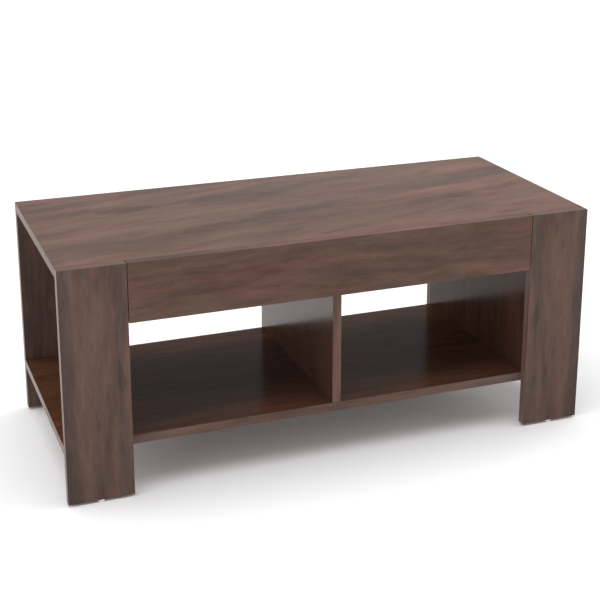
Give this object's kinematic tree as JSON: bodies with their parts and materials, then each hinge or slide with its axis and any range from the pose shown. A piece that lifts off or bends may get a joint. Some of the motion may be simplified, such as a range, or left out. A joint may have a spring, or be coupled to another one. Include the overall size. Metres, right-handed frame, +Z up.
{
  "type": "lift top coffee table",
  "caption": "Walnut-look coffee table whose top swings up and forward over a hidden compartment, with board legs and an open divided lower shelf.",
  "frame": {"origin": "on the floor under the middle of the table's bounding box, with the table closed", "axes": "+X along the length to the user's right, +Y to the rear, +Z up; the top lifts towards -Y"},
  "size_m": [1.1, 0.472, 0.47],
  "materials": {
    "walnut": "dark walnut print melamine with a satin sheen",
    "walnut_top": "walnut print melamine, greyish and slightly glossier",
    "zinc": "bright zinc plated steel",
    "black_steel": "black powder-coated steel",
    "spring_steel": "bare spring steel",
    "nickel": "nickel plated steel",
    "clear_rubber": "clear soft bumper"
  },
  "bodies": {
    "case": {"leg_front_left": "walnut", "leg_rear_left": "walnut", "leg_front_right": "walnut", "leg_rear_right": "walnut", "rear_apron": "walnut", "compartment_floor": "walnut", "centre_divider": "walnut", "lower_shelf": "walnut", "side_panel_left": "walnut", "side_panel_right": "walnut", "glide_front_left": "nickel", "glide_rear_left": "nickel", "glide_front_right": "nickel", "glide_rear_right": "nickel", "bumper_front_left": "clear_rubber", "bumper_rear_left": "clear_rubber", "bumper_front_right": "clear_rubber", "bumper_rear_right": "clear_rubber", "base_bracket_left": "black_steel", "base_bracket_right": "black_steel", "base_rivet_main_left": "zinc", "base_rivet_follower_left": "zinc", "base_rivet_main_right": "zinc", "base_rivet_follower_right": "zinc", "base_screw_front_left": "zinc", "base_screw_middle_left": "zinc", "base_screw_rear_left": "zinc", "base_screw_front_right": "zinc", "base_screw_middle_right": "zinc", "base_screw_rear_right": "zinc", "spring_anchor_left": "zinc", "spring_anchor_right": "zinc", "lift_spring_left": "spring_steel", "lift_spring_right": "spring_steel"},
    "lift_top": {"lift_top": "walnut_top", "front_apron": "walnut", "top_bracket_left": "black_steel", "top_bracket_right": "black_steel", "top_rivet_main_left": "zinc", "top_rivet_follower_left": "zinc", "top_rivet_main_right": "zinc", "top_rivet_follower_right": "zinc", "top_screw_front_left": "zinc", "top_screw_middle_left": "zinc", "top_screw_rear_left": "zinc", "top_screw_front_right": "zinc", "top_screw_middle_right": "zinc", "top_screw_rear_right": "zinc", "apron_bracket_left": "zinc", "apron_bracket_right": "zinc", "apron_bracket_screw_up_left": "zinc", "apron_bracket_screw_front_left": "zinc", "apron_bracket_screw_up_right": "zinc", "apron_bracket_screw_front_right": "zinc"},
    "main_arm_left": {"main_arm_left": "black_steel", "spring_lug_left": "zinc"},
    "follower_arm_left": {"follower_arm_left": "black_steel"},
    "main_arm_right": {"main_arm_right": "black_steel", "spring_lug_right": "zinc"},
    "follower_arm_right": {"follower_arm_right": "black_steel"}
  },
  "joints": [
    {"name": "lift", "type": "hinge", "parent": "case", "child": "main_arm_left", "pos_m": [-0.4165, -0.06, 0.397], "axis": [1, 0, 0], "range_deg": [0, 133], "deforming": ["lift_spring_left", "lift_spring_right"]},
    {"name": "top_level", "type": "hinge", "parent": "main_arm_left", "child": "lift_top", "pos_m": [-0.4165, 0.12974, 0.38706], "axis": [1, 0, 0], "range_deg": [-133, 0]},
    {"name": "main_arm_right_turn", "type": "hinge", "parent": "case", "child": "main_arm_right", "pos_m": [0.4165, -0.06, 0.397], "axis": [1, 0, 0], "range_deg": [0, 133]},
    {"name": "follower_left_turn", "type": "hinge", "parent": "case", "child": "follower_arm_left", "pos_m": [-0.4165, -0.12, 0.426], "axis": [1, 0, 0], "range_deg": [0, 133]},
    {"name": "follower_right_turn", "type": "hinge", "parent": "case", "child": "follower_arm_right", "pos_m": [0.4165, -0.12, 0.426], "axis": [1, 0, 0], "range_deg": [0, 133]}
  ],
  "couplings": [
    {"joint": "top_level", "follows": "lift", "ratio": -1},
    {"joint": "main_arm_right_turn", "follows": "lift", "ratio": 1},
    {"joint": "follower_left_turn", "follows": "lift", "ratio": 1},
    {"joint": "follower_right_turn", "follows": "lift", "ratio": 1}
  ]
}
